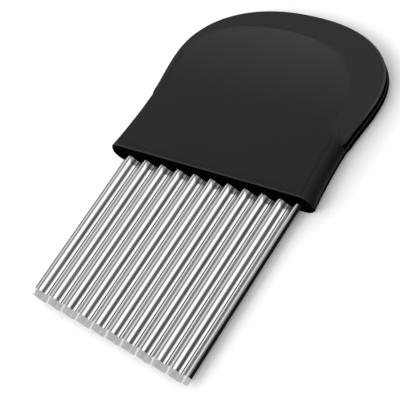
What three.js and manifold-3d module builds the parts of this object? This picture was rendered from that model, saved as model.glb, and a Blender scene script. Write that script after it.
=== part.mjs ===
// Crinkle cutter: a corrugated stainless blade held by its tang in a flat two-part moulded handle.
// Millimetres, +Z up. The cutter lies on the lower half of its handle and the blade points to -Y.
// The origin is on that surface, under the middle of the cutter's length and width.

import * as THREE from 'three';
import { mergeVertices } from 'three/addons/utils/BufferGeometryUtils.js';
import Module from 'manifold-3d';

const wasm = await Module();
wasm.setup();

// Blade: a sheet of even thickness, pressed into round waves that run along the blade
const bladeWidth = 68.4;
const wavePitch = 6.5;
const waveOffset = 0.4;
const waveHeight = 2.4;
const sheetThickness = 0.6;
const longReach = 67.2;
const shortReach = 56.2;
const bevelLength = 2.3;
const edgeThickness = 0.12;
const edgeScallop = 0.4;
const tangLength = 22;

// Handle seen from above: mouth, hollow waist, widest place and full, round far end
const handleLength = 68.2;
const mouthCheek = 5;
const waistInset = 1.6;
const waistAt = 23;
const swell = 1.4;
const widestAt = 41;
const endFullness = 2.24;

// Handle relief: both faces are alike, thick and flat over the tang and thin round the rim
const bladeDrop = 1.6;
const floorUnderBlade = 1.2;
const flankRound = 4.3;
const flankRoundFade = 2.5;
const rimThickness = 4.4;
const landStart = 22.5;
const landRun = 12;
const landSideWidth = 8;
const landEndWidth = 7.2;
const shoulderWidth = 1.2;
const panelFlatTo = 27;
const panelEndRise = 0.3;
const panelLean = 5;
const leanStart = 36;
const leanRun = 16;
const mouthChamfer = 0.5;
const seamWidth = 0.4;
const seamDepth = 0.3;

// Inside of the handle
const skin = 2.2;
const mouthWall = 2.4;
const pinRib = 6;
const rearRib = 2.5;
const bulkhead = 2.5;
const pocketInset = 1.2;
const stiffener = 1.6;
const seatRamp = 2.2;
const bladeClearance = 0.3;

// Pins: three through the tang, two at the far end of the grip
const pinDiameter = 3;
const pinChamfer = 0.4;
const pinClearance = 0.2;
const pinSkin = 1.2;
const bossWall = 1.8;
const tangPinFromEnd = 11.5;
const tangPinCrests = 3;
const gripPinSpread = 16;

// Facets
const waveSteps = 10;
const waistSteps = 6;
const landSteps = 9;
const swellSteps = 3;
const endSteps = 18;
const wallSteps = 3;
const shoulderSteps = 5;
const pinSides = 20;

// Sizes that follow from the ones above
const waveAmplitude = waveHeight / 2;
const sheetHalf = sheetThickness / 2;
const bladeHalfWidth = bladeWidth / 2;
const halfThickness = bladeDrop + waveAmplitude + sheetHalf + floorUnderBlade;
const rimHalf = rimThickness / 2;
const mouthHalf = bladeHalfWidth + mouthCheek;
const waistHalf = mouthHalf - waistInset;
const widestHalf = waistHalf + swell;
const endDepth = handleLength - widestAt;
const panelEnd = handleLength - landEndWidth - shoulderWidth;
const seatHalf = bladeHalfWidth + bladeClearance;
const pocketStart = tangLength + bladeClearance + bulkhead;
const pinRadius = pinDiameter / 2;
const socketRadius = pinRadius + pinClearance;
const tangPinAt = tangLength - tangPinFromEnd;
const tangPinSpread = tangPinCrests * wavePitch;
const gripPinAt = widestAt;

const { clamp, lerp, smoothstep } = THREE.MathUtils;
const shares = (steps) => Array.from({ length: steps + 1 }, (_, step) => step / steps);
const between = (start, end, steps) => shares(steps).map((share) => lerp(start, end, share));
const point = (x, y, z) => new THREE.Vector3(x, y, z);

const steel = new THREE.MeshStandardMaterial({ color: '#c9cbcd', metalness: 1, roughness: 0.24 });
const pinSteel = new THREE.MeshStandardMaterial({ color: '#a9abad', metalness: 1, roughness: 0.35 });
const plastic = new THREE.MeshStandardMaterial({ color: '#1b1b1c', metalness: 0, roughness: 0.48 });

// A closed triangle mesh as a solid. Triangles that fold up where rings meet in a point are left out.
function solidOf(geometry) {
  const bare = geometry.clone();
  bare.deleteAttribute('normal');
  bare.deleteAttribute('uv');
  const merged = mergeVertices(bare);
  const corners = merged.index.array;
  const kept = [];
  for (let i = 0; i < corners.length; i += 3) {
    const [a, b, c] = corners.slice(i, i + 3);
    if (a !== b && b !== c && c !== a) kept.push(a, b, c);
  }
  const vertProperties = new Float32Array(merged.attributes.position.array);
  return new wasm.Manifold(new wasm.Mesh({ numProp: 3, vertProperties, triVerts: new Uint32Array(kept) }));
}

// A solid lofted through closed rings, which follow each other towards +Y. Each ring runs along one row
// of points and back along the facing row, and both ends are closed by strips from row to row.
function loft(rings) {
  const count = rings[0].length;
  const first = rings[0];
  const last = rings[rings.length - 1];
  const corners = [];
  const quad = (a, b, c, d) => corners.push(a, b, c, a, c, d);
  for (let i = 1; i < rings.length; i += 1) {
    for (let j = 0; j < count; j += 1) {
      const next = (j + 1) % count;
      quad(rings[i - 1][j], rings[i - 1][next], rings[i][next], rings[i][j]);
    }
  }
  for (let j = 0; j + 1 < count / 2; j += 1) {
    const facing = count - 1 - j;
    quad(first[j], first[facing], first[facing - 1], first[j + 1]);
    quad(last[j], last[j + 1], last[facing - 1], last[facing]);
  }
  return solidOf(new THREE.BufferGeometry().setFromPoints(corners));
}

function block(halfWidth, y0, y1, z0, z1) {
  const ring = (y) => [
    point(-halfWidth, y, z0),
    point(-halfWidth, y, z1),
    point(halfWidth, y, z1),
    point(halfWidth, y, z0),
  ];
  return loft([ring(y0), ring(y1)]);
}

// A round post that reaches equally far above and below the parting plane
function post({ x, y, reach }, radius) {
  const geometry = new THREE.CylinderGeometry(radius, radius, 2 * reach, pinSides);
  geometry.rotateX(Math.PI / 2);
  geometry.translate(x, y, 0);
  return solidOf(geometry);
}

const cutAll = (solid, tools) => tools.reduce((rest, tool) => rest.subtract(tool), solid);

function meshOf(name, solid, material) {
  const { vertProperties, triVerts } = solid.getMesh();
  const shared = new THREE.BufferGeometry();
  shared.setAttribute('position', new THREE.BufferAttribute(vertProperties, 3));
  shared.setIndex(new THREE.BufferAttribute(triVerts, 1));
  const geometry = shared.toNonIndexed();
  geometry.computeVertexNormals();
  const mesh = new THREE.Mesh(geometry, material);
  mesh.name = name;
  return mesh;
}

// The palm panel is flat over the tang and falls away more and more towards the far end.
function panelHeight(y) {
  const share = Math.max(0, (y - panelFlatTo) / (panelEnd - panelFlatTo));
  return halfThickness - (halfThickness - rimHalf - panelEndRise) * share ** 2;
}

// Where each pin stands, and how far it can reach from the parting plane under a skin of plastic
const pinAt = (x, y) => ({ x, y, reach: panelHeight(y) - pinSkin });
const tangPins = [
  ['tang_pin_left', pinAt(waveOffset - tangPinSpread, tangPinAt)],
  ['tang_pin_centre', pinAt(waveOffset, tangPinAt)],
  ['tang_pin_right', pinAt(waveOffset + tangPinSpread, tangPinAt)],
];
const gripPins = [
  ['grip_pin_left', pinAt(-gripPinSpread, gripPinAt)],
  ['grip_pin_right', pinAt(gripPinSpread, gripPinAt)],
];
const sockets = [...tangPins, ...gripPins].map(([, place]) => post(place, socketRadius));

// The phase of the waves at x: a crest stands a little to the +X side of the middle.
const waveTurn = (x) => (2 * Math.PI * (x - waveOffset)) / wavePitch;

// The point of the waved sheet at x, at a height over its middle measured square to the sheet
function wavePoint(x, y, height) {
  const turn = waveTurn(x);
  const slope = -((2 * Math.PI) / wavePitch) * waveAmplitude * Math.sin(turn);
  const length = Math.hypot(slope, 1);
  const middle = waveAmplitude * Math.cos(turn) - bladeDrop;
  return point(x - (height * slope) / length, y, middle + height / length);
}

function acrossWaves(halfWidth) {
  return between(-halfWidth, halfWidth, 2 * Math.ceil((halfWidth / wavePitch) * waveSteps));
}

// The section of the waved sheet from one height to another, at yAt(x) along the blade
function waveRing(halfWidth, low, high, yAt) {
  const across = acrossWaves(halfWidth);
  const upper = across.map((x) => wavePoint(x, yAt(x), high));
  const lower = across.map((x) => wavePoint(x, yAt(x), low));
  return [...upper, ...lower.reverse()];
}

// The cutting edge runs out of square: the +X side of the blade is the longer one. The edge is scalloped
// from wave to wave, with the crests a little further out than the hollows.
function reachAt(x) {
  const crest = (1 + Math.cos(waveTurn(x))) / 2;
  return lerp(shortReach, longReach, (x + bladeHalfWidth) / bladeWidth) + edgeScallop * crest;
}

// The bevel is ground on the upper side only, so the edge lies at the lower face of the sheet.
function bladeSolid() {
  const sheet = loft([
    waveRing(bladeHalfWidth, -sheetHalf, edgeThickness - sheetHalf, (x) => -reachAt(x)),
    waveRing(bladeHalfWidth, -sheetHalf, sheetHalf, (x) => bevelLength - reachAt(x)),
    waveRing(bladeHalfWidth, -sheetHalf, sheetHalf, () => tangLength),
  ]);
  return cutAll(sheet, tangPins.map(([, place]) => post(place, socketRadius)));
}

// The room for the tang in the handle, with its clearance
function tangRoom() {
  const high = sheetHalf + bladeClearance;
  return loft([
    waveRing(seatHalf, -high, high, () => -mouthWall),
    waveRing(seatHalf, -high, high, () => tangLength + bladeClearance),
  ]);
}

// The part of the upper half that reaches down to the tang. Its lower side follows the waves, and beside
// the tang it ramps up to the parting plane.
function seatBlock(y0, y1, drop) {
  const rampEnd = seatHalf + seatRamp;
  const ring = (y) => {
    const waves = acrossWaves(seatHalf).map((x) => wavePoint(x, y, 0).setZ(wavePoint(x, y, 0).z - drop));
    const lower = [point(-rampEnd, y, 0), ...waves, point(rampEnd, y, 0)];
    const upper = lower.map(({ x }) => point(x, y, skin));
    return [...upper, ...lower.reverse()];
  };
  return loft([ring(y0), ring(y1)]);
}

// Half the handle's width on its flank: a hollow as far as the waist, then a swell to the widest place
function flankHalf(y) {
  if (y <= waistAt) return waistHalf + waistInset * ((waistAt - y) / waistAt) ** 2;
  return lerp(waistHalf, widestHalf, smoothstep(y, waistAt, widestAt));
}

// A place on the right-hand outline, moved inwards. Flank places go by y. Far-end places go by an angle
// round a superellipse, which is a little fuller than an ellipse.
function outlineAt(place, sideInset, endInset) {
  if (place.angle === undefined) return { x: flankHalf(place.y) - sideInset, y: place.y };
  const full = (share) => share ** (2 / endFullness);
  return {
    x: (widestHalf - sideInset) * full(Math.cos(place.angle)),
    y: widestAt + (endDepth - endInset) * full(Math.sin(place.angle)),
  };
}

const flankPlaces = (start, end, steps) => between(start, end, steps).map((y) => ({ y }));
const endPlaces = between(0, Math.PI / 2, endSteps).slice(1).map((angle) => ({ angle }));

// The relief at a place on the outline. The rim, the land inside it and the shoulder up to the panel each
// have a width there. Before the land starts, the flank is one round from seam to panel. The panel leans to
// the -X side, so the land is narrow there, and on the +X side it widens towards the far end.
function reliefAt(place, hand) {
  const y = place.y ?? widestAt;
  const landShare = Math.sin((clamp((y - landStart) / landRun, 0, 1) * Math.PI) / 2);
  const roundShare = 1 - smoothstep(y, landStart, landStart + flankRoundFade);
  const rimAngle = Math.asin(rimHalf / halfThickness);
  const land = roundShare * flankRound * (1 - Math.cos(rimAngle)) + landShare * landSideWidth;
  const shoulder = lerp(flankRound * Math.cos(rimAngle), shoulderWidth, landShare);
  const endExtra = landEndWidth - landSideWidth;
  const panelEdgeY = outlineAt(place, 0, land + endExtra + shoulder).y;
  const panel = panelHeight(panelEdgeY);
  const landTop = lerp(rimHalf, panel, landShare);
  const lean = panelLean * (hand < 0 ? landShare : smoothstep(panelEdgeY, leanStart, leanStart + leanRun));
  return { roundShare, rimAngle, land, shoulder, endExtra, panel, landTop, lean };
}

// One side of the upper half's section, from seam to panel: hand 1 is the +X side and hand -1 the other
function sectionAt(place, hand, chamfer) {
  const { roundShare, rimAngle, land, shoulder, endExtra, panel, landTop, lean } = reliefAt(place, hand);
  const shrink = 1 - chamfer / halfThickness;
  const at = (inset, extra, shift, z) => {
    const { x, y } = outlineAt(place, inset + chamfer, inset + extra + chamfer);
    return point(hand * x - shift, y, z * shrink);
  };
  const seamAngle = Math.asin(seamWidth / 2 / halfThickness);
  const wall = between(seamAngle, rimAngle, wallSteps).map((angle) =>
    at(roundShare * flankRound * (1 - Math.cos(angle)), 0, 0, halfThickness * Math.sin(angle)));
  const rounded = between(rimAngle, Math.PI / 2, shoulderSteps).map((angle) => {
    const across = 1 - Math.cos(angle) / Math.cos(rimAngle);
    const up = (Math.sin(angle) - Math.sin(rimAngle)) / (1 - Math.sin(rimAngle));
    return at(land + shoulder * across, endExtra, lean, lerp(landTop, panel, up));
  });
  return [at(seamDepth, 0, 0, 0), ...wall, ...rounded];
}

// A half of the handle with no inside: side 1 is the upper half and side -1 the lower
function halfSolid(side) {
  const places = [
    ...flankPlaces(mouthChamfer, landStart, waistSteps),
    ...flankPlaces(landStart, landStart + landRun, landSteps).slice(1),
    ...flankPlaces(landStart + landRun, widestAt, swellSteps).slice(1),
    ...endPlaces,
  ];
  const ringAt = (place, chamfer) => {
    const sections = [...sectionAt(place, -1, chamfer), ...sectionAt(place, 1, chamfer).reverse()];
    return sections.map(({ x, y, z }) => point(x, y, z * side));
  };
  const rings = [ringAt({ y: 0 }, mouthChamfer), ...places.map((place) => ringAt(place, 0))];
  return loft(side > 0 ? rings : rings.reverse());
}

// The hollow behind the tang, with stiffening ribs and pin bosses left standing in it
function pocket(side) {
  const places = [...flankPlaces(pocketStart, widestAt, landSteps), ...endPlaces];
  const rings = places.map((place) => {
    const { land, shoulder, endExtra, lean } = reliefAt(place, 1);
    const inset = land + shoulder + pocketInset;
    const { x, y } = outlineAt(place, inset, inset + endExtra);
    const top = side * (panelHeight(y) - skin);
    const open = -side * skin;
    const left = -x - reliefAt(place, -1).lean;
    const right = x - lean;
    return [point(left, y, open), point(left, y, top), point(right, y, top), point(right, y, open)];
  });
  const hollow = loft(side > 0 ? rings : rings.reverse());
  const spine = block(stiffener / 2, 0, handleLength, -halfThickness, halfThickness);
  const crossRib = block(
    mouthHalf,
    gripPinAt - stiffener / 2,
    gripPinAt + stiffener / 2,
    -halfThickness,
    halfThickness,
  );
  const bossRadius = socketRadius + bossWall;
  const bosses = gripPins.map(([, { x, y }]) => post({ x, y, reach: halfThickness }, bossRadius));
  return cutAll(hollow, [spine, crossRib, ...bosses]);
}

// A bay over the tang between two of the ribs that press on it
const bay = (y0, y1) => block(bladeHalfWidth, y0, y1, -halfThickness, halfThickness - skin);

function upperShell() {
  const seated = halfSolid(1).add(seatBlock(0, tangLength, 0));
  return cutAll(seated, [
    tangRoom(),
    bay(mouthWall, tangPinAt - pinRib / 2),
    bay(tangPinAt + pinRib / 2, tangLength - rearRib),
    pocket(1),
    ...sockets,
  ]);
}

function lowerShell() {
  const seat = seatBlock(-mouthWall, tangLength + bladeClearance, bladeClearance);
  return cutAll(halfSolid(-1), [seat, tangRoom(), pocket(-1), ...sockets]);
}

// A pin with chamfered ends, standing across the parting plane
function pinMesh([name, { x, y, reach }]) {
  const end = reach - pinClearance;
  const profile = [
    [0, -end],
    [pinRadius - pinChamfer, -end],
    [pinRadius, pinChamfer - end],
    [pinRadius, end - pinChamfer],
    [pinRadius - pinChamfer, end],
    [0, end],
  ].map(([radius, along]) => new THREE.Vector2(radius, along));
  const mesh = new THREE.Mesh(new THREE.LatheGeometry(profile, pinSides), pinSteel);
  mesh.name = name;
  mesh.rotation.x = Math.PI / 2;
  mesh.position.set(x, y, 0);
  return mesh;
}

const cutter = new THREE.Group();
cutter.name = 'crinkle_cutter';
cutter.add(
  meshOf('blade', bladeSolid(), steel),
  meshOf('lower_shell', lowerShell(), plastic),
  meshOf('upper_shell', upperShell(), plastic),
  ...[...tangPins, ...gripPins].map(pinMesh),
);
const box = new THREE.Box3().setFromObject(cutter);
cutter.position.set(0, -(box.min.y + box.max.y) / 2, -box.min.z);

export default cutter;
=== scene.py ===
import math

import bmesh
import bpy
import numpy as np
from mathutils import Matrix, Vector


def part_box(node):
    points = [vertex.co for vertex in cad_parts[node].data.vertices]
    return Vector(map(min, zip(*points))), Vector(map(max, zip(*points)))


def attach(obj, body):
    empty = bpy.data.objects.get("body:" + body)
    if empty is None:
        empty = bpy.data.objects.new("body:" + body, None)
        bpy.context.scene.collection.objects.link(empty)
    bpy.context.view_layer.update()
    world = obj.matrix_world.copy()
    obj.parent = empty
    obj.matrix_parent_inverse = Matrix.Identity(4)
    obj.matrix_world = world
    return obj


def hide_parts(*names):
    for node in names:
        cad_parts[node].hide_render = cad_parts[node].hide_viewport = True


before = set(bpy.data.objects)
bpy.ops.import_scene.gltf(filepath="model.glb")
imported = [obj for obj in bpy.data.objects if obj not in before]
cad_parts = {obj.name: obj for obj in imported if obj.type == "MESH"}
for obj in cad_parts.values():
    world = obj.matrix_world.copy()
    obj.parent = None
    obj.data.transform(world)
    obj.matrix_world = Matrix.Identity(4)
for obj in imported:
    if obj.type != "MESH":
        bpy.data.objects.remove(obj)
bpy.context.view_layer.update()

# Blade
# One sheet of stainless steel, pressed into round waves that run along it and brushed the same way. Three
# pins hold its tang in the handle. Its front is cut on a slant and ground thin from above.

MM = 0.001
MOUTH_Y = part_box("upper_shell")[0].y / MM
PARTING_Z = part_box("lower_shell")[1].z / MM

WAVE_PITCH = 6.5
WAVE_OFFSET = 0.4
WAVE_AMPLITUDE = 1.2
BLADE_DROP = 1.6
BLADE_HALF = 34.2
SHEET_HALF = 0.3
LONG_REACH = 67.19
SHORT_REACH = 56.2
BEVEL_LENGTH = 2.3
EDGE_THICKNESS = 0.12
EDGE_SCALLOP = 0.4
TANG_LENGTH = 22
TANG_PIN_AT = 10.5
TANG_PIN_CRESTS = 3
PIN_HOLE_RADIUS = 1.7
BLADE_CREASE_DEGREES = 20
MERGE_DISTANCE = 0.002


def waved_point(x, y, height):
    """The sheet's middle is a cosine of x below the parting plane. The point stands off it by a height,
    measured square to the wave's own slope."""
    x, y, height = np.broadcast_arrays(x, y, height)
    turn = 2 * np.pi * (x - WAVE_OFFSET) / WAVE_PITCH
    slope = -2 * np.pi / WAVE_PITCH * WAVE_AMPLITUDE * np.sin(turn)
    length = np.hypot(slope, 1)
    middle = WAVE_AMPLITUDE * np.cos(turn) - BLADE_DROP
    return np.stack([x - height * slope / length, y, middle + height / length], axis=-1)


def edge_reach(x):
    """How far the edge stands out of the mouth: a straight slant from side to side, and a cosine scallop
    that is fullest on the crests."""
    crest = (1 + np.cos(2 * np.pi * (x - WAVE_OFFSET) / WAVE_PITCH)) / 2
    slant = (x / BLADE_HALF + 1) / 2
    return SHORT_REACH + (LONG_REACH - SHORT_REACH) * slant + EDGE_SCALLOP * crest


def closed_quads(solid, far_wall=True):
    """Quads of a closed piece between an upper and a lower grid of points. `solid` says which cells of the
    grid are there. Walls join the two grids wherever a cell meets a missing one, so holes get walls too.
    Columns run to +X and rows to +Y, and every quad faces outwards."""
    rows, columns = solid.shape[0] + 1, solid.shape[1] + 1
    index = np.arange(rows * columns).reshape(rows, columns)
    below = rows * columns
    upper = np.stack([index[:-1, :-1], index[:-1, 1:], index[1:, 1:], index[1:, :-1]], axis=-1)[solid]
    lower = upper[:, ::-1] + below

    def wall(start, end, where):
        """Quads from the upper grid's edges down to the lower grid's, where they are wanted."""
        return np.stack([start, start + below, end + below, end], axis=-1)[where]

    ringed = np.pad(solid, 1)
    ahead, behind = ringed[1:, 1:-1], ringed[:-1, 1:-1]
    right, left = ringed[1:-1, 1:], ringed[1:-1, :-1]
    to_back = ~ahead & behind
    if not far_wall:
        to_back[-1] = False
    walls = [
        wall(index[:, :-1], index[:, 1:], ahead & ~behind),
        wall(index[:, 1:], index[:, :-1], to_back),
        wall(index[1:], index[:-1], right & ~left),
        wall(index[:-1], index[1:], ~right & left),
    ]
    return np.concatenate([upper, lower, *walls])


def new_piece(name, points, quads, crease_degrees, kinds=0, **marks):
    """A mesh from points in millimetres, measured from the middle of the mouth on the parting plane. Quads
    have a material number each, and points have marks that the materials read. Points that fall together
    are merged, and edges sharper than the given angle stay crisp."""
    kinds = np.broadcast_to(kinds, len(quads)).astype(np.int32)
    used, quads = np.unique(quads, return_inverse=True)
    places = (points.reshape(-1, 3)[used] + (0, MOUTH_Y, PARTING_Z)) * MM
    mesh = bpy.data.meshes.new(name)
    mesh.from_pydata(places.tolist(), [], quads.reshape(-1, 4).tolist())
    mesh.polygons.foreach_set("material_index", kinds)
    for mark, values in marks.items():
        mesh.attributes.new(mark, "FLOAT", "POINT").data.foreach_set("value", values.ravel()[used])
    draft = bmesh.new()
    draft.from_mesh(mesh)
    bmesh.ops.remove_doubles(draft, verts=draft.verts, dist=MERGE_DISTANCE * MM)
    draft.to_mesh(mesh)
    draft.free()
    mesh.polygons.foreach_set("use_smooth", np.ones(len(mesh.polygons), bool))
    mesh.set_sharp_from_angle(angle=math.radians(crease_degrees))
    piece = bpy.data.objects.new(name, mesh)
    bpy.context.scene.collection.objects.link(piece)
    return piece


# Columns cross the waves, with three close to each side, where shearing has rounded the sheet's corners.
COLUMNS_PER_WAVE = 36
WAVES_EACH_SIDE = 6
SIDE_GAP = 0.1
SIDE_INSET = np.array([0, 0.02, 0.06])
SIDE_FULLNESS = np.array([0.45, 0.75, 0.93])
column_step = WAVE_PITCH / COLUMNS_PER_WAVE
half_columns = COLUMNS_PER_WAVE * WAVES_EACH_SIDE
waves_across = WAVE_OFFSET + column_step * np.arange(-half_columns, half_columns)
waves_across = waves_across[np.abs(waves_across) < BLADE_HALF - SIDE_GAP]
blade_x = np.concatenate([SIDE_INSET - BLADE_HALF, waves_across, BLADE_HALF - SIDE_INSET[::-1]])
fullness = np.concatenate([SIDE_FULLNESS, np.ones(len(waves_across)), SIDE_FULLNESS[::-1]])

# Rows run from the edge over the bevel to the mouth, and on to the tang's end. A close row on each side of
# the bevel's upper corner keeps it crisp. Near the pins the rows are close enough for round holes.
BEVEL_ROWS = 6
BEVEL_LAST_SHARE = 0.98
FLAT_ROWS = 12
FLAT_FIRST_SHARE = 0.001
COLUMNS_PER_PIN_STEP = 2
HOLE_RIM_STEPS = 6
HOLE_CORE_STEPS = 4
TANG_ROWS_BEFORE_PINS = (2.5, 5, 7)
TANG_ROWS_BEHIND_PINS = (14.5, 18, TANG_LENGTH)
bevel_share = np.append(np.linspace(0, BEVEL_LAST_SHARE, BEVEL_ROWS), 1)[:, None]
flat_share = np.append(FLAT_FIRST_SHARE, np.linspace(0, 1, FLAT_ROWS + 1)[1:])[:, None]
pin_step = COLUMNS_PER_PIN_STEP * column_step
pin_rows = TANG_PIN_AT + pin_step * np.arange(-HOLE_RIM_STEPS, HOLE_RIM_STEPS + 1)
tang_rows = np.concatenate([TANG_ROWS_BEFORE_PINS, pin_rows, TANG_ROWS_BEHIND_PINS])[:, None]
reach = edge_reach(blade_x)[None, :]
blade_y = np.concatenate([
    -reach + BEVEL_LENGTH * bevel_share,
    (BEVEL_LENGTH - reach) * (1 - flat_share),
    np.broadcast_to(tang_rows, (len(tang_rows), len(blade_x))),
])
bevel_rise = 2 * SHEET_HALF - EDGE_THICKNESS
upper_height = np.full(blade_y.shape, SHEET_HALF)
upper_height[:len(bevel_share)] = EDGE_THICKNESS - SHEET_HALF + bevel_rise * bevel_share
lower_height = np.full(blade_y.shape, -SHEET_HALF)

# Round each pin, squares of the grid are drawn into rings: a square's rim stays, and its core is the hole.
GRID_SLACK = 1e-6
plan_x = np.broadcast_to(blade_x, blade_y.shape).copy()
plan_y = blade_y.copy()
sheet_cells = np.ones((blade_y.shape[0] - 1, blade_y.shape[1] - 1), bool)
hole_rim = HOLE_RIM_STEPS * pin_step
hole_core = HOLE_CORE_STEPS * pin_step
core_columns = HOLE_CORE_STEPS * COLUMNS_PER_PIN_STEP
pin_row = int(np.argmin(np.abs(blade_y[:, 0] - TANG_PIN_AT)))
for crest in (-TANG_PIN_CRESTS, 0, TANG_PIN_CRESTS):
    pin_x = WAVE_OFFSET + crest * WAVE_PITCH
    off_x = plan_x - pin_x
    off_y = plan_y - TANG_PIN_AT
    ring = np.maximum(np.abs(off_x), np.abs(off_y))
    near = (ring < hole_rim + GRID_SLACK) & (ring > hole_core - GRID_SLACK)
    share = ((ring - hole_core) / (hole_rim - hole_core))[near]
    round_off = PIN_HOLE_RADIUS / np.hypot(off_x, off_y)[near]
    square_off = (hole_rim / ring)[near]
    pull = round_off + (square_off - round_off) * share
    plan_x[near] = pin_x + off_x[near] * pull
    plan_y[near] = TANG_PIN_AT + off_y[near] * pull
    pin_column = int(np.argmin(np.abs(blade_x - pin_x)))
    sheet_cells[pin_row - HOLE_CORE_STEPS:pin_row + HOLE_CORE_STEPS,
                pin_column - core_columns:pin_column + core_columns] = False

blade_points = np.stack([
    waved_point(plan_x, plan_y, upper_height * fullness),
    waved_point(plan_x, plan_y, lower_height * fullness),
])
blade = new_piece("waved_blade", blade_points, closed_quads(sheet_cells), BLADE_CREASE_DEGREES)


def linear(colour):
    """An sRGB hex colour as linear RGBA, by the sRGB curve."""
    srgb = np.array([int(colour[at:at + 2], 16) for at in (1, 3, 5)]) / 255
    rgb = np.where(srgb <= 0.04045, srgb / 12.92, ((srgb + 0.055) / 1.055) ** 2.4)
    return (*rgb.tolist(), 1.0)


def add_node(material, kind, inputs, stops=(), **settings):
    """A node of a material or the world, with its settings. Each input is a value for its socket, or another
    node's output to link. Stops are places on a ramp, from 0 to 1, with their colours."""
    node = material.node_tree.nodes.new(kind)
    for name, value in settings.items():
        setattr(node, name, value)
    for name, value in inputs.items():
        if isinstance(value, bpy.types.NodeSocket):
            material.node_tree.links.new(value, node.inputs[name])
        else:
            node.inputs[name].default_value = value
    if stops:
        for _ in stops[2:]:
            node.color_ramp.elements.new(0)
        for stop, (position, colour) in zip(node.color_ramp.elements, stops):
            stop.position = position
            stop.color = colour
    return node


def empty_material(name):
    """A material with no nodes yet."""
    material = bpy.data.materials.new(name)
    material.use_nodes = True
    material.node_tree.nodes.clear()
    return material


# Brushed stainless steel: bright, with fine dull lines along the waves. The real lines are about 0.05 mm
# apart, and they are drawn 0.3 mm apart so that they show. A noise lies mostly between the low and the high
# value here, and sets how dull each line is.
BRUSH_SPACING = 0.3
BRUSH_LENGTH = 40
NOISE_LOW, NOISE_HIGH = 0.3, 0.7
# The sheet is slightly bowed from side to side, and flared upwards at the mouth. Both are shading alone, and
# turn what the waves mirror.
SHEET_BOW = 0.62
FLARE = 0.58
FLARE_RUN = 7
FLARE_POWER = 3
# Painted reflections across each wave: the left flanks are painted duller, with a painted dark line and a
# bright one at each trough. Rows give millimetres from a crest towards +X, and a share of the steel's tone.
PAINTED_REFLECTION_BANDS = ((0, 1), (2.7, 1), (2.8, 0.03), (2.98, 0.03), (3.06, 1.35), (3.72, 1.35), (3.85, 0.3), (6, 0.32),
          (6.4, 0.62), (6.5, 1))
WHOLE_WAVES = 10
# At the mouth the right flanks are painted darker, in a wedge: a painted reflection of the black mouth. Rows
# give millimetres from a crest, the wedge's length from the mouth, and a share of the tone in it.
ROOT_RUN = 6
ROOT_FADE = 0.3
ROOT_PAINTED_REFLECTION = ((0, 0, 0.6), (0.35, 0.1, 0.4), (0.8, 0.7, 0.25), (1.2, 1.6, 0.25), (1.5, 2.2, 0.45),
              (1.9, 2.4, 0.5), (2.1, 2.2, 0.25), (2.75, 1.9, 0.25), (3.06, 1.7, 0.4), (3.6, 1.2, 0.45),
              (3.8, 0.4, 0.8), (4, 0, 1), (6.5, 0, 1))
# Beside the left edge the steel mirrors little at a glancing angle: a painted dark line along that side.
DARK_EDGE_FROM = -32.6
DARK_EDGE_TO = -32.2
brushed = empty_material("brushed_stainless_steel")
coords = add_node(brushed, "ShaderNodeTexCoord", {})
spot = add_node(brushed, "ShaderNodeSeparateXYZ", {"Vector": coords.outputs["Object"]})
off_centre = add_node(brushed, "ShaderNodeMath", {
    0: spot.outputs["X"], 1: math.sqrt(SHEET_BOW / FLARE) / (BLADE_HALF * MM),
}, operation="MULTIPLY")
near_mouth = add_node(brushed, "ShaderNodeMapRange", {
    "Value": spot.outputs["Y"], "From Min": (MOUTH_Y - FLARE_RUN) * MM, "From Max": MOUTH_Y * MM,
})
flare = add_node(brushed, "ShaderNodeMath", {
    0: near_mouth.outputs["Result"], 1: FLARE_POWER,
}, operation="POWER")
bowed = add_node(brushed, "ShaderNodeMath", {
    0: off_centre.outputs["Value"], 1: off_centre.outputs["Value"], 2: flare.outputs["Value"],
}, operation="MULTIPLY_ADD")
sheet = add_node(brushed, "ShaderNodeBump", {
    "Height": bowed.outputs["Value"], "Strength": 1, "Distance": FLARE * MM,
})
lines = add_node(brushed, "ShaderNodeMapping", {
    "Vector": coords.outputs["Object"],
    "Scale": (1 / (BRUSH_SPACING * MM), 1 / (BRUSH_LENGTH * MM), 1 / (BRUSH_SPACING * MM)),
})
brush = add_node(brushed, "ShaderNodeTexNoise", {
    "Vector": lines.outputs["Vector"], "Scale": 1, "Detail": 3,
})
dullness = add_node(brushed, "ShaderNodeMapRange", {
    "Value": brush.outputs["Fac"], "From Min": NOISE_LOW, "From Max": NOISE_HIGH,
    "To Min": 0.08, "To Max": 0.15,
})
# Whole waves are added to the place across the blade, so that the phase counts up from every crest.
wave_place = add_node(brushed, "ShaderNodeMath", {
    0: spot.outputs["X"], 1: 1 / (WAVE_PITCH * MM), 2: WHOLE_WAVES - WAVE_OFFSET / WAVE_PITCH,
}, operation="MULTIPLY_ADD")
phase = add_node(brushed, "ShaderNodeMath", {0: wave_place.outputs["Value"]}, operation="FRACT")
# Painted reflections: dark and bright lines in the steel's tone across each wave.
painted_bands = add_node(brushed, "ShaderNodeValToRGB", {"Fac": phase.outputs["Value"]}, stops=[
    (from_crest / WAVE_PITCH, (share, share, share, 1)) for from_crest, share in PAINTED_REFLECTION_BANDS
])
streaks = add_node(brushed, "ShaderNodeMix", {
    "Factor": brush.outputs["Fac"], "A": linear("#cccccc"), "B": linear("#f2f2f2"),
}, data_type="RGBA")
banded_tone = add_node(brushed, "ShaderNodeMix", {
    "Factor": 1, "A": streaks.outputs["Result"], "B": painted_bands.outputs["Color"],
}, data_type="RGBA", blend_type="MULTIPLY")
root = add_node(brushed, "ShaderNodeValToRGB", {"Fac": phase.outputs["Value"]}, stops=[
    (from_crest / WAVE_PITCH, (length / ROOT_RUN, share, 0, 1)) for from_crest, length, share in ROOT_PAINTED_REFLECTION
])
wedge = add_node(brushed, "ShaderNodeSeparateColor", {"Color": root.outputs["Color"]})
from_mouth = add_node(brushed, "ShaderNodeMapRange", {
    "Value": spot.outputs["Y"], "From Min": MOUTH_Y * MM, "From Max": (MOUTH_Y - ROOT_RUN) * MM,
})
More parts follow.
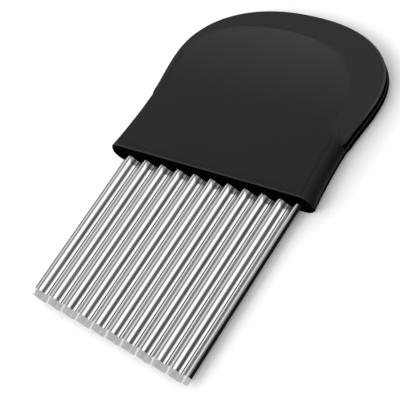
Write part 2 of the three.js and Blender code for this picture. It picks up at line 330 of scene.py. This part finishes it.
past_wedge = add_node(brushed, "ShaderNodeMath", {
    0: from_mouth.outputs["Result"], 1: wedge.outputs["Red"],
}, operation="SUBTRACT")
painted_wedge_shade = add_node(brushed, "ShaderNodeMapRange", {
    "Value": past_wedge.outputs["Value"],
    "From Min": -ROOT_FADE / ROOT_RUN, "From Max": ROOT_FADE / ROOT_RUN,
    "To Min": wedge.outputs["Green"], "To Max": 1,
})
# The painted reflection of the mouth darkens the tone at the wave roots.
tone = add_node(brushed, "ShaderNodeMix", {
    "Factor": 1, "A": banded_tone.outputs["Result"], "B": painted_wedge_shade.outputs["Result"],
}, data_type="RGBA", blend_type="MULTIPLY")
scratches = add_node(brushed, "ShaderNodeBump", {
    "Height": brush.outputs["Fac"], "Strength": 0.05, "Distance": 0.01 * MM,
    "Normal": sheet.outputs["Normal"],
})
# Painted dark line: the glancing reflection is tinted black beside the left edge.
painted_dark_edge = add_node(brushed, "ShaderNodeMapRange", {
    "Value": spot.outputs["X"], "From Min": DARK_EDGE_FROM * MM, "From Max": DARK_EDGE_TO * MM,
})
steel = add_node(brushed, "ShaderNodeBsdfPrincipled", {
    "Base Color": tone.outputs["Result"], "Metallic": 1, "Roughness": dullness.outputs["Result"],
    "Specular Tint": painted_dark_edge.outputs["Result"], "Normal": scratches.outputs["Normal"],
})
add_node(brushed, "ShaderNodeOutputMaterial", {"Surface": steel.outputs["BSDF"]})

# Ground steel on the bevel: matt grey, with short lines square to the edge, left by the wheel. The real
# lines are about 0.03 mm apart, and they are drawn 0.25 mm apart so that they show.
GRIND_SPACING = 0.25
GRIND_LENGTH = 6
ground = empty_material("ground_stainless_steel")
coords = add_node(ground, "ShaderNodeTexCoord", {})
lines = add_node(ground, "ShaderNodeMapping", {
    "Vector": coords.outputs["Object"],
    "Scale": (1 / (GRIND_SPACING * MM), 1 / (GRIND_LENGTH * MM), 1 / (GRIND_SPACING * MM)),
})
grind = add_node(ground, "ShaderNodeTexNoise", {
    "Vector": lines.outputs["Vector"], "Scale": 1, "Detail": 2,
})
dullness = add_node(ground, "ShaderNodeMapRange", {
    "Value": grind.outputs["Fac"], "From Min": NOISE_LOW, "From Max": NOISE_HIGH,
    "To Min": 0.52, "To Max": 0.6,
})
tone = add_node(ground, "ShaderNodeMix", {
    "Factor": grind.outputs["Fac"], "A": linear("#d2d2d2"), "B": linear("#dadada"),
}, data_type="RGBA")
scratches = add_node(ground, "ShaderNodeBump", {
    "Height": grind.outputs["Fac"], "Strength": 0.2, "Distance": 0.02 * MM,
})
steel = add_node(ground, "ShaderNodeBsdfPrincipled", {
    "Base Color": tone.outputs["Result"], "Metallic": 1, "Roughness": dullness.outputs["Result"],
    "Normal": scratches.outputs["Normal"],
})
add_node(ground, "ShaderNodeOutputMaterial", {"Surface": steel.outputs["BSDF"]})

# Steel along both sides, past the last crests and over the cut faces, painted dark as shade, so that it
# mirrors nothing. The real shear marks are about 0.1 mm apart, and they are drawn 0.3 mm apart so that they
# show.
SHADED_SIDE_FROM = 33.55
SHEAR_SPACING = 0.3
shaded_side_steel = empty_material("side_shade_painted_steel")
coords = add_node(shaded_side_steel, "ShaderNodeTexCoord", {})
shear_marks = add_node(shaded_side_steel, "ShaderNodeTexNoise", {
    "Vector": coords.outputs["Object"], "Scale": 1 / (SHEAR_SPACING * MM), "Detail": 1,
})
tone = add_node(shaded_side_steel, "ShaderNodeMix", {
    "Factor": shear_marks.outputs["Fac"], "A": linear("#141415"), "B": linear("#1e1e1f"),
}, data_type="RGBA")
steel = add_node(shaded_side_steel, "ShaderNodeBsdfPrincipled", {
    "Base Color": tone.outputs["Result"], "Roughness": 0.5, "Specular IOR Level": 0,
})
add_node(shaded_side_steel, "ShaderNodeOutputMaterial", {"Surface": steel.outputs["BSDF"]})

BRUSHED, GROUND, SHADED_SIDE = range(3)
for finish in (brushed, ground, shaded_side_steel):
    blade.data.materials.append(finish)
centres = np.empty(len(blade.data.polygons) * 3)
normals = np.empty(len(blade.data.polygons) * 3)
blade.data.polygons.foreach_get("center", centres)
blade.data.polygons.foreach_get("normal", normals)
centres = centres.reshape(-1, 3) / MM - (0, MOUTH_Y, PARTING_Z)
on_bevel = centres[:, 1] < BEVEL_LENGTH - edge_reach(centres[:, 0])
facing_up = normals.reshape(-1, 3)[:, 2] > 0
# The steel along both sides is painted dark as shade.
on_side = (np.abs(centres[:, 0]) > SHADED_SIDE_FROM) & ~on_bevel
blade_finish = np.select([on_side, on_bevel & facing_up], [SHADED_SIDE, GROUND], BRUSHED)
blade.data.polygons.foreach_set("material_index", blade_finish.astype(np.int32))
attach(blade, "root")
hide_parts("blade")

# Pins
# Five short pins of plain steel with chamfered ends, pressed into blind holes. Three go through the tang,
# and two join the halves of the handle behind it. They are hidden once the handle is closed.

# Drawn steel wire: plain satin grey, with faint marks from the die. The real marks are about 0.1 mm apart,
# and they are drawn 0.4 mm apart so that they show.
DRAW_SPACING = 0.4
pin_steel = empty_material("drawn_steel_wire")
coords = add_node(pin_steel, "ShaderNodeTexCoord", {})
draw_marks = add_node(pin_steel, "ShaderNodeTexNoise", {
    "Vector": coords.outputs["Object"], "Scale": 1 / (DRAW_SPACING * MM), "Detail": 2,
})
dullness = add_node(pin_steel, "ShaderNodeMapRange", {
    "Value": draw_marks.outputs["Fac"], "To Min": 0.28, "To Max": 0.42,
})
tone = add_node(pin_steel, "ShaderNodeMix", {
    "Factor": draw_marks.outputs["Fac"], "A": linear("#a2a4a6"), "B": linear("#b4b6b8"),
}, data_type="RGBA")
steel = add_node(pin_steel, "ShaderNodeBsdfPrincipled", {
    "Base Color": tone.outputs["Result"], "Metallic": 1, "Roughness": dullness.outputs["Result"],
})
add_node(pin_steel, "ShaderNodeOutputMaterial", {"Surface": steel.outputs["BSDF"]})
for pin in ("tang_pin_left", "tang_pin_centre", "tang_pin_right", "grip_pin_left", "grip_pin_right"):
    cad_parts[pin].data.materials.clear()
    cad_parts[pin].data.materials.append(pin_steel)

# Handle halves
# Two hollow mouldings of black ABS, alike outside, that close over the tang along a fine groove. The lower
# half has a waved seat under the blade, and the upper half a waved lip that comes down on it.

HANDLE_LENGTH = 68.2
MOUTH_HALF = 39.2
WAIST_INSET = 1.6
WAIST_AT = 23
SWELL = 1.4
WIDEST_AT = 41
END_FULLNESS = 2.24
END_DEPTH = HANDLE_LENGTH - WIDEST_AT
HALF_THICKNESS = 4.3
FLANK_ROUND = 4.3
FLANK_ROUND_FADE = 2.5
RIM_HALF = 2.2
RIM_EDGE_ROUND = 0.5
RIM_ROUND_LIMIT = 0.45
LAND_START = 22.5
LAND_RUN = 12
LAND_END = LAND_START + LAND_RUN
LAND_SIDE_WIDTH = 8
LAND_END_WIDTH = 7.2
SHOULDER_WIDTH = 1.2
PANEL_FLAT_TO = 27
PANEL_END_RISE = 0.3
PANEL_END = HANDLE_LENGTH - LAND_END_WIDTH - SHOULDER_WIDTH
PANEL_LEAN = 5
LEAN_START = 36
LEAN_RUN = 16
MOUTH_ROUND = 0.5
SEAM_DEPTH = 0.3
GROOVE_INSET = np.array([SEAM_DEPTH, 0.14, 0.04])
GROOVE_HEIGHT = np.array([0, 0.1, 0.22])
WALL_START = 0.34
MOUTH_WALL = 2.4
WALL_BACK_STEP = 0.05
SIDE_WALL = 2.5
SEAT_CLEARANCE = 0.3
SEAT_RAMP = 2.2
UPPER_SKIN = 1.2
LOWER_SKIN = 0.9
HANDLE_CREASE_DEGREES = 28

# Rows along each stretch of the handle, and columns across each zone of its section
MOUTH_ROWS = 5
FRONT_ROWS = 13
LAND_ROWS = 32
SWELL_ROWS = 8
END_ROWS = 56
WALL_COLUMNS = 6
RIM_COLUMNS = 5
LAND_COLUMNS = 6
SHOULDER_COLUMNS = 12
PANEL_COLUMNS = 176
TINY = 1e-9


def smooth_step(value, start, end):
    """Cubic step from 0 at the start to 1 at the end."""
    share = np.clip((value - start) / (end - start), 0, 1)
    return share * share * (3 - 2 * share)


def flank_half(y):
    """Half the handle's width: a parabola from the mouth in to the waist, then a cubic step to the swell."""
    waist = MOUTH_HALF - WAIST_INSET
    hollow = WAIST_INSET * (np.clip(WAIST_AT - y, 0, None) / WAIST_AT) ** 2
    return waist + hollow + SWELL * smooth_step(y, WAIST_AT, WIDEST_AT)


def panel_height(y):
    """The palm panel is flat over the tang, then falls away with the square of the distance."""
    share = np.clip((y - PANEL_FLAT_TO) / (PANEL_END - PANEL_FLAT_TO), 0, None)
    return HALF_THICKNESS - (HALF_THICKNESS - RIM_HALF - PANEL_END_RISE) * share ** 2


def bend(start, corner, end, steps):
    """A round between two lines that meet in a corner: the parabola that leaves the start towards the corner
    and comes to the end from it, less its first point."""
    share = np.linspace(0, 1, steps + 1)[1:]
    return start * (1 - share) ** 2 + 2 * corner * share * (1 - share) + end * share ** 2


# Rows are stations: over the mouth's round, along the flank by y, and then round the far end by the angle of
# a superellipse.
turn = np.linspace(0, np.pi / 2, MOUTH_ROWS)
mouth_y = MOUTH_ROUND * (1 - np.cos(turn))
flank_y = np.concatenate([
    [MOUTH_WALL, MOUTH_WALL + WALL_BACK_STEP],
    np.linspace(MOUTH_WALL, LAND_START, FRONT_ROWS + 1)[1:],
    np.linspace(LAND_START, LAND_END, LAND_ROWS + 1)[1:],
    np.linspace(LAND_END, WIDEST_AT, SWELL_ROWS + 1)[1:],
])
end_angle = np.linspace(0, np.pi / 2, END_ROWS + 1)[1:]
along = np.concatenate([mouth_y, flank_y, np.full(END_ROWS, WIDEST_AT)])[:, None]
angle = np.concatenate([np.zeros(len(mouth_y) + len(flank_y)), end_angle])[:, None]
mouth_round = np.zeros(along.shape)
mouth_round[:MOUTH_ROWS, 0] = MOUTH_ROUND * (1 - np.sin(turn))
round_x = np.cos(angle).clip(0) ** (2 / END_FULLNESS)
round_y = np.sin(angle) ** (2 / END_FULLNESS)

# Each station has a width for the land and the shoulder, a height for the land and the panel, and a lean of
# the panel to the left. Before the land starts, the flank is one round from the groove to the panel.
land_share = np.sin(np.clip((along - LAND_START) / LAND_RUN, 0, 1) * np.pi / 2)
round_share = 1 - smooth_step(along, LAND_START, LAND_START + FLANK_ROUND_FADE)
rim_angle = math.asin(RIM_HALF / HALF_THICKNESS)
rim_inset = round_share * FLANK_ROUND * (1 - math.cos(rim_angle))
land = rim_inset + land_share * LAND_SIDE_WIDTH
shoulder = FLANK_ROUND * math.cos(rim_angle) * (1 - land_share) + SHOULDER_WIDTH * land_share
end_extra = LAND_END_WIDTH - LAND_SIDE_WIDTH
panel_y = along + (END_DEPTH - land - end_extra - shoulder) * round_y
panel = panel_height(panel_y)
land_top = RIM_HALF + land_share * (panel - RIM_HALF)
lean_left = PANEL_LEAN * land_share
lean_right = PANEL_LEAN * smooth_step(panel_y, LEAN_START, LEAN_START + LEAN_RUN)

# Columns are zones of one side's section, as insets from the outline and heights over the parting plane.
land_length = np.hypot(land - rim_inset, land_top - RIM_HALF)
edge_round = np.minimum(RIM_EDGE_ROUND, RIM_ROUND_LIMIT * land_length)
wall_top = np.arcsin((RIM_HALF - edge_round) / HALF_THICKNESS)
wall_bottom = math.asin(WALL_START / HALF_THICKNESS)
wall_angle = wall_bottom + (wall_top - wall_bottom) * np.linspace(0, 1, WALL_COLUMNS)
wall_inset = round_share * FLANK_ROUND * (1 - np.cos(wall_angle))
wall_z = HALF_THICKNESS * np.sin(wall_angle)
land_in = (land - rim_inset) / np.maximum(land_length, TINY)
land_up = (land_top - RIM_HALF) / np.maximum(land_length, TINY)
edge_inset = bend(wall_inset[:, -1:], rim_inset, rim_inset + edge_round * land_in, RIM_COLUMNS)
edge_z = bend(wall_z[:, -1:], RIM_HALF, RIM_HALF + edge_round * land_up, RIM_COLUMNS)
land_steps = np.linspace(0, 1, LAND_COLUMNS + 1)[1:]
land_inset = edge_inset[:, -1:] + (land - edge_inset[:, -1:]) * land_steps
land_z = edge_z[:, -1:] + (land_top - edge_z[:, -1:]) * land_steps
shoulder_angle = np.linspace(rim_angle, np.pi / 2, SHOULDER_COLUMNS + 1)[1:]
shoulder_inset = land + shoulder * (1 - np.cos(shoulder_angle) / math.cos(rim_angle))
shoulder_up = (np.sin(shoulder_angle) - math.sin(rim_angle)) / (1 - math.sin(rim_angle))
shoulder_z = land_top + (panel - land_top) * shoulder_up
groove_inset = np.tile(GROOVE_INSET, (len(along), 1))
groove_z = np.tile(GROOVE_HEIGHT, (len(along), 1))
inset = np.concatenate([groove_inset, wall_inset, edge_inset, land_inset, shoulder_inset], axis=1)
height = np.concatenate([groove_z, wall_z, edge_z, land_z, shoulder_z], axis=1)
zone = np.repeat(["groove", "wall", "rim", "land", "shoulder"],
                 [GROOVE_INSET.size, WALL_COLUMNS, RIM_COLUMNS, LAND_COLUMNS, SHOULDER_COLUMNS])
across_land = np.clip((inset - rim_inset) / np.maximum(land - rim_inset, TINY), 0, 1)
across_land[:, np.isin(zone, ["groove", "wall"])] = 0


def whole_section(side_inset, z):
    """Both sides of every station and the panel between them, from left to right. A side's points lie in
    from the outline by their insets and move with the lean, and the panel's points are even steps from its
    left end to its right end."""
    x = (flank_half(along) - side_inset - mouth_round) * round_x
    y = along + (END_DEPTH - side_inset - end_extra * across_land) * round_y
    left = np.stack([-x - lean_left * across_land, y, z], axis=-1)
    right = np.stack([x - lean_right * across_land, y, z], axis=-1)
    share = np.linspace(0, 1, PANEL_COLUMNS + 1)[1:-1, None]
    middle = left[:, -1:] * (1 - share) + right[:, -1:] * share
    return np.concatenate([left, middle, right[:, ::-1]], axis=1)


def half_handle(side):
    """Upper and lower grids of one half: side 1 is the upper half and -1 the lower. The inside follows the
    outside under an even skin. The wall at the mouth ends on the blade's waves with a clearance, and beside
    them on a ramp up to the parting plane."""
    outside = whole_section(inset, height * (1 - mouth_round / HALF_THICKNESS))
    skin = UPPER_SKIN if side > 0 else LOWER_SKIN
    hollow = np.where(inset < SIDE_WALL, 0, np.clip(height - skin, 0, None))
    inside = whole_section(np.maximum(inset, SEAM_DEPTH), hollow)
    seat_half = BLADE_HALF + SEAT_CLEARANCE
    seat_x = np.linspace(-seat_half, seat_half, PANEL_COLUMNS + 1)[1:-1]
    seat = waved_point(seat_x, 0, side * (SHEET_HALF + SEAT_CLEARANCE))
    ramp_x = np.linspace(MOUTH_HALF - SEAM_DEPTH - MOUTH_ROUND, seat_half, inset.shape[1])
    ramp_start = waved_point(np.array(seat_half), 0, 0)[2] - (SEAT_CLEARANCE if side < 0 else 0)
    ramp_z = ramp_start * np.clip((seat_half + SEAT_RAMP - ramp_x) / SEAT_RAMP, 0, 1)
    wall_rows = slice(MOUTH_ROWS + 1)
    inside[wall_rows, :, 0] = np.concatenate([-ramp_x, seat[:, 0], ramp_x[::-1]])
    inside[wall_rows, :, 2] = np.concatenate([ramp_z, seat[:, 2], ramp_z[::-1]]) * side
    inside[wall_rows, [0, -1], 0] = outside[wall_rows, [0, -1], 0]
    return (np.stack([outside, inside]) * (1, 1, side))[::side]


# Two marks go with the points. `shine` scales what the plastic mirrors, and fades where the flank turns away
# and over the mouth's round. The other mark is painted light, mixed into the tone: a little on the panel and
# the land, a painted band of light down the flank, painted light on the front of the crease over its shade,
# and painted highlights on the edges of the groove, the rim and the mouth. Before the far end, the left
# shoulder has no more of it than the panel.
SHINE_FROM = 0.85
FLANK_LIGHT_FROM = 0.25
FLANK_LIGHT_TO = 0.93
MOUTH_SHINE_FROM = 0.75
RIM_HIGHLIGHT_START = 28.5
CREASE_FADE_START = 28.5
CREASE_FADE_END = 33.5
PANEL_PAINTED_LIGHT = 0.035
FLANK_PAINTED_LIGHT = 0.22
LAND_PAINTED_LIGHT = 0.14
RIM_PAINTED_HIGHLIGHT = 0.8
MOUTH_PAINTED_HIGHLIGHT = 0.36
SEAM_PAINTED_HIGHLIGHT = 0.6
CREASE_PAINTED_LIGHT = 0.3


def top_share(start):
    """1 on the panel and the shoulder, falling on the flank by a cubic step to 0 at a given share of its
    height."""
    on_flank = smooth_step(height / HALF_THICKNESS, start, 1)
    return round_share * on_flank + (1 - round_share) * (zone == "shoulder")


def both_sides(left, right):
    """The left side's marks, the right side's last one repeated over the panel, and the right side's."""
    panel_marks = np.repeat(right[:, -1:], PANEL_COLUMNS - 1, axis=1)
    return np.concatenate([left, panel_marks, right[:, ::-1]], axis=1)


side_shine = top_share(SHINE_FROM)
on_flank_side = top_share(FLANK_LIGHT_FROM) - top_share(FLANK_LIGHT_TO)
right_pale = PANEL_PAINTED_LIGHT * side_shine + FLANK_PAINTED_LIGHT * round_share * on_flank_side
# Painted highlight on the groove's edge.
right_pale[:, GROOVE_INSET.size - 1] = SEAM_PAINTED_HIGHLIGHT
right_pale += (1 - round_share) * LAND_PAINTED_LIGHT * np.isin(zone, ["rim", "land"])
# Painted highlight along the rim's rounded edge, growing towards the widest place.
rim_highlight = RIM_PAINTED_HIGHLIGHT * smooth_step(along, RIM_HIGHLIGHT_START, WIDEST_AT)
right_pale[:, zone == "rim"] += rim_highlight * np.sin(np.pi * np.linspace(0, 1, RIM_COLUMNS + 1)[1:])
# Painted light on the front of the crease, over the shoulder's shade.
crease = 1 - round_share - smooth_step(along, CREASE_FADE_START, CREASE_FADE_END)
up_shoulder = np.linspace(0, 1, SHOULDER_COLUMNS + 1)[1:]
right_pale[:, zone == "shoulder"] += CREASE_PAINTED_LIGHT * crease * (1 - up_shoulder ** 2)
left_pale = right_pale.copy()
left_pale[np.ix_(along[:, 0] < WIDEST_AT, zone == "shoulder")] = PANEL_PAINTED_LIGHT
# Painted highlight on the mouth's round.
for side_pale in (right_pale, left_pale):
    side_pale[:MOUTH_ROWS] += MOUTH_PAINTED_HIGHLIGHT * np.sin(2 * turn)[:, None] * side_shine[:MOUTH_ROWS]
    side_pale[0] = 0
side_shine[:MOUTH_ROWS] *= smooth_step(np.sin(turn), MOUTH_SHINE_FROM, 1)[:, None]
shine = both_sides(side_shine, side_shine)
pale = both_sides(left_pale, right_pale)

SATIN, ETCHED, PAINTED_SHADE = range(3)
OUTLINE_CELLS = 4


def outside_finish(side):
    """The plastic of each cell outside: satin, apart from the etched rim, land and left shoulder, and the
    walls under the land, which are painted shade. The lower half's walls are painted shade from the mouth
    on. On the left shoulder, before the far end, the etched plastic's even grey paints out the shoulder's
    shading and glancing reflection, on that side only. On both halves a thin outline at the foot of the left
    shoulder is painted shade, up to where the land starts."""
    start = along[:-1, 0]
    finish = np.full((len(start), shine.shape[1] - 1), SATIN)
    painted_shade_from = LAND_START if side > 0 else 0
    for kind, zones, first in ((PAINTED_SHADE, ["wall"], painted_shade_from), (ETCHED, ["rim", "land"], LAND_START)):
        rows = np.flatnonzero(start >= first)[:, None]
        cells = np.flatnonzero(np.isin(zone, zones))
        finish[rows, cells] = finish[rows, -1 - cells] = kind
    shoulder_cells = np.flatnonzero(zone == "shoulder")
    # Painted even grey over the left shoulder's shading, on that side only.
    finish[np.ix_(start < WIDEST_AT, shoulder_cells)] = ETCHED
    finish[np.ix_(start < LAND_START, shoulder_cells[:OUTLINE_CELLS])] = PAINTED_SHADE
    return finish


GRAIN = 0.4
RUBBED_PATCH = 18
# The lighter tone that is mixed in as painted light and highlights.
PAINTED_LIGHT_TONE = linear("#4a4a4a")


def black_abs(name, darkest, lightest, specular_level):
    """Black ABS with a fine grain between two tones. The mark for painted light mixes in a lighter tone, as
    painted light and highlights, and the mark `shine` scales what the surface mirrors."""
    plastic = empty_material(name)
    coords = add_node(plastic, "ShaderNodeTexCoord", {})
    grain = add_node(plastic, "ShaderNodeTexNoise", {
        "Vector": coords.outputs["Object"], "Scale": 1 / (GRAIN * MM), "Detail": 2,
    })
    rubbed = add_node(plastic, "ShaderNodeTexNoise", {
        "Vector": coords.outputs["Object"], "Scale": 1 / (RUBBED_PATCH * MM), "Detail": 2,
    })
    dullness = add_node(plastic, "ShaderNodeMapRange", {
        "Value": rubbed.outputs["Fac"], "From Min": NOISE_LOW, "From Max": NOISE_HIGH,
        "To Min": 0.32, "To Max": 0.36,
    })
    shine = add_node(plastic, "ShaderNodeAttribute", {}, attribute_name="shine")
    pale = add_node(plastic, "ShaderNodeAttribute", {}, attribute_name="pale")
    black = add_node(plastic, "ShaderNodeMix", {
        "Factor": grain.outputs["Fac"], "A": linear(darkest), "B": linear(lightest),
    }, data_type="RGBA")
    tone = add_node(plastic, "ShaderNodeMix", {
        "Factor": pale.outputs["Fac"], "A": black.outputs["Result"], "B": PAINTED_LIGHT_TONE,
    }, data_type="RGBA")
    texture = add_node(plastic, "ShaderNodeBump", {
        "Height": grain.outputs["Fac"], "Strength": 0.12, "Distance": 0.02 * MM,
    })
    surface = add_node(plastic, "ShaderNodeBsdfPrincipled", {
        "Base Color": tone.outputs["Result"], "Roughness": dullness.outputs["Result"], "IOR": 1.5,
        "Specular IOR Level": specular_level, "Specular Tint": shine.outputs["Color"],
        "Normal": texture.outputs["Normal"],
    })
    add_node(plastic, "ShaderNodeOutputMaterial", {"Surface": surface.outputs["BSDF"]})
    return plastic


# Satin ABS on the panel and the right flank: black with a soft shine and a fine, even grain. The real grain
# is about 0.1 mm, and it is drawn at 0.4 mm so that it shows. Palms have rubbed it in patches of 18 mm.
satin = black_abs("satin_black_abs", "#0a0a0a", "#101010", specular_level=0.122)
# Etched ABS on the rim and the land: the mould is etched coarser there, which takes all shine off and
# leaves a dark, even grey. On the left shoulder the same even grey is painted over its shading and glancing
# reflection.
etched = black_abs("etched_black_abs", "#242424", "#2a2a2a", specular_level=0)
# Matt ABS on the walls and inside the mouth: painted shade, deep black, with nothing mirrored.
shade_black = black_abs("shade_painted_black_abs", "#020202", "#040404", specular_level=0)

for name, node, side in (("lower_half", "lower_shell", -1), ("upper_half", "upper_shell", 1)):
    outside = outside_finish(side)
    both_grids = np.stack([outside, np.full_like(outside, PAINTED_SHADE)])[::side]
    quads = closed_quads(np.ones(outside.shape, bool), far_wall=False)
    kinds = np.full(len(quads), PAINTED_SHADE)
    kinds[:both_grids.size] = both_grids.ravel()
    half = new_piece(name, half_handle(side), quads, HANDLE_CREASE_DEGREES, kinds,
                     shine=np.stack([shine, 0 * shine])[::side], pale=np.stack([pale, 0 * pale])[::side])
    for plastic in (satin, etched, shade_black):
        half.data.materials.append(plastic)
    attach(half, "root")
    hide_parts(node)

# Floor
# A sheet of white card, cut wide enough to fill the picture. It lies flat under the cutter and takes its
# shadow.

FLOOR_HALF = 1.5
floor_mesh = bpy.data.meshes.new("floor")
floor_corners = [(-FLOOR_HALF, -FLOOR_HALF, 0), (FLOOR_HALF, -FLOOR_HALF, 0),
                 (FLOOR_HALF, FLOOR_HALF, 0), (-FLOOR_HALF, FLOOR_HALF, 0)]
floor_mesh.from_pydata(floor_corners, [], [(0, 1, 2, 3)])
floor = bpy.data.objects.new("floor", floor_mesh)
bpy.context.scene.collection.objects.link(floor)

# White card: matt and nearly even. The real fibres are finer than 0.1 mm, and they are drawn at 0.8 mm.
CARD_FIBRE = 0.8
card = empty_material("white_card")
coords = add_node(card, "ShaderNodeTexCoord", {})
fibre = add_node(card, "ShaderNodeTexNoise", {
    "Vector": coords.outputs["Object"], "Scale": 1 / (CARD_FIBRE * MM), "Detail": 1,
})
tone = add_node(card, "ShaderNodeMix", {
    "Factor": fibre.outputs["Fac"], "A": linear("#f7f7f7"), "B": linear("#f9f9f9"),
}, data_type="RGBA")
paper = add_node(card, "ShaderNodeBsdfPrincipled", {
    "Base Color": tone.outputs["Result"], "Roughness": 0.9, "Specular IOR Level": 0.1,
})
add_node(card, "ShaderNodeOutputMaterial", {"Surface": paper.outputs["BSDF"]})
floor.data.materials.append(card)

# Light
# A studio dome with bright and dark bands from left to right, which the waves mirror as lines. A soft box
# behind on the left gives the panel its sheen, a wide one in front lights everything evenly and isn't
# mirrored, and a small one stands low in front on the left.

# Rows give degrees from straight up towards +X, the radiance in front, and the radiance further back.
BANDS = (
    (-90, 0.6, 0.6), (-80, 1.4, 1.3), (-68, 1.9, 1.7), (-55, 1.8, 1.6), (-44, 0.95, 0.85),
    (-22, 0.86, 0.78), (-8, 0.48, 0.54), (3, 0.14, 0.37), (15, 0.14, 0.39), (25, 0.85, 0.85),
    (31, 1.45, 1.45), (52, 1.45, 1.45), (55.5, 0.8, 0.8), (58.5, 0.12, 0.12), (60, 0.06, 0.06),
    (90, 0.05, 0.05),
)
BACK_FROM = 0.33
BACK_TO = 0.42


def soft_box(name, place, across, width, height, radiance):
    """A flat rectangular lamp at a place, turned to the middle of the object, with its width along a given
    direction. Its power is pi times its area times the radiance that it shows."""
    lamp = bpy.data.lights.new(name, "AREA")
    lamp.shape = "RECTANGLE"
    lamp.size = width
    lamp.size_y = height
    lamp.energy = math.pi * width * height * radiance
    box = bpy.data.objects.new(name, lamp)
    away = Vector(place).normalized()
    upright = away.cross(Vector(across)).normalized()
    box_axes = Matrix((upright.cross(away), upright, away)).transposed()
    box.matrix_world = Matrix.Translation(place) @ box_axes.to_4x4()
    bpy.context.scene.collection.objects.link(box)
    return box


soft_box("back_left_box", place=(-1.1, 1.77, 1.2), across=(0.85, 0.52, 0), width=1.0, height=1.0,
         radiance=1.75)
front_box = soft_box("front_box", place=(0.17, -1.7, 1.7), across=(1, 0, 0), width=2.0, height=1.1,
                     radiance=4.7)
front_box.visible_glossy = False
soft_box("low_left_box", place=(-1.21, -1.6, 0.91), across=(0.8, -0.6, 0), width=0.6, height=0.5,
         radiance=3.0)

world = bpy.data.worlds.new("studio")
bpy.context.scene.world = world
world.use_nodes = True
world.node_tree.nodes.clear()
outlook = add_node(world, "ShaderNodeTexCoord", {})
direction = add_node(world, "ShaderNodeSeparateXYZ", {"Vector": outlook.outputs["Generated"]})
band_angle = add_node(world, "ShaderNodeMath", {
    0: direction.outputs["X"], 1: direction.outputs["Z"],
}, operation="ARCTAN2")
band_place = add_node(world, "ShaderNodeMapRange", {
    "Value": band_angle.outputs["Value"], "From Min": -math.pi / 2, "From Max": math.pi / 2,
})
front_bands, back_bands = (
    add_node(world, "ShaderNodeValToRGB", {"Fac": band_place.outputs["Result"]}, stops=[
        (band[0] / 180 + 0.5, (band[column], band[column], band[column], 1)) for band in BANDS
    ])
    for column in (1, 2)
)
backwards = add_node(world, "ShaderNodeMapRange", {
    "Value": direction.outputs["Y"], "From Min": BACK_FROM, "From Max": BACK_TO,
})
dome_tone = add_node(world, "ShaderNodeMix", {
    "Factor": backwards.outputs["Result"],
    "A": front_bands.outputs["Color"], "B": back_bands.outputs["Color"],
}, data_type="RGBA")
dome = add_node(world, "ShaderNodeBackground", {"Color": dome_tone.outputs["Result"], "Strength": 1})
add_node(world, "ShaderNodeOutputWorld", {"Surface": dome.outputs["Background"]})

# Camera
# It looks down on the cutter from the blade's right, a little over half a metre away, with a long lens and
# turned so that the blade points to the picture's lower left.

CAMERA_PLACE = Vector((315.5, -237.1 + MOUTH_Y, 413.9)) * MM
CAMERA_LOOK = Vector((-0.55603, 0.40517, -0.72572))
CAMERA_UP = Vector((-0.23587, 0.76032, 0.60521))
SENSOR = 36
PICTURE_PIXELS = 400
FOCAL_PIXELS = 1827.32
NEAR_CLIP = 0.01
lens = bpy.data.cameras.new("camera")
lens.sensor_width = SENSOR
lens.lens = SENSOR * FOCAL_PIXELS / PICTURE_PIXELS
lens.clip_start = NEAR_CLIP
camera = bpy.data.objects.new("camera", lens)
back = -CAMERA_LOOK.normalized()
side_axis = CAMERA_UP.cross(back).normalized()
camera_axes = Matrix((side_axis, back.cross(side_axis), back)).transposed()
camera.matrix_world = Matrix.Translation(CAMERA_PLACE) @ camera_axes.to_4x4()
bpy.context.scene.collection.objects.link(camera)
bpy.context.scene.camera = camera
bpy.context.scene.view_settings.view_transform = "Standard"
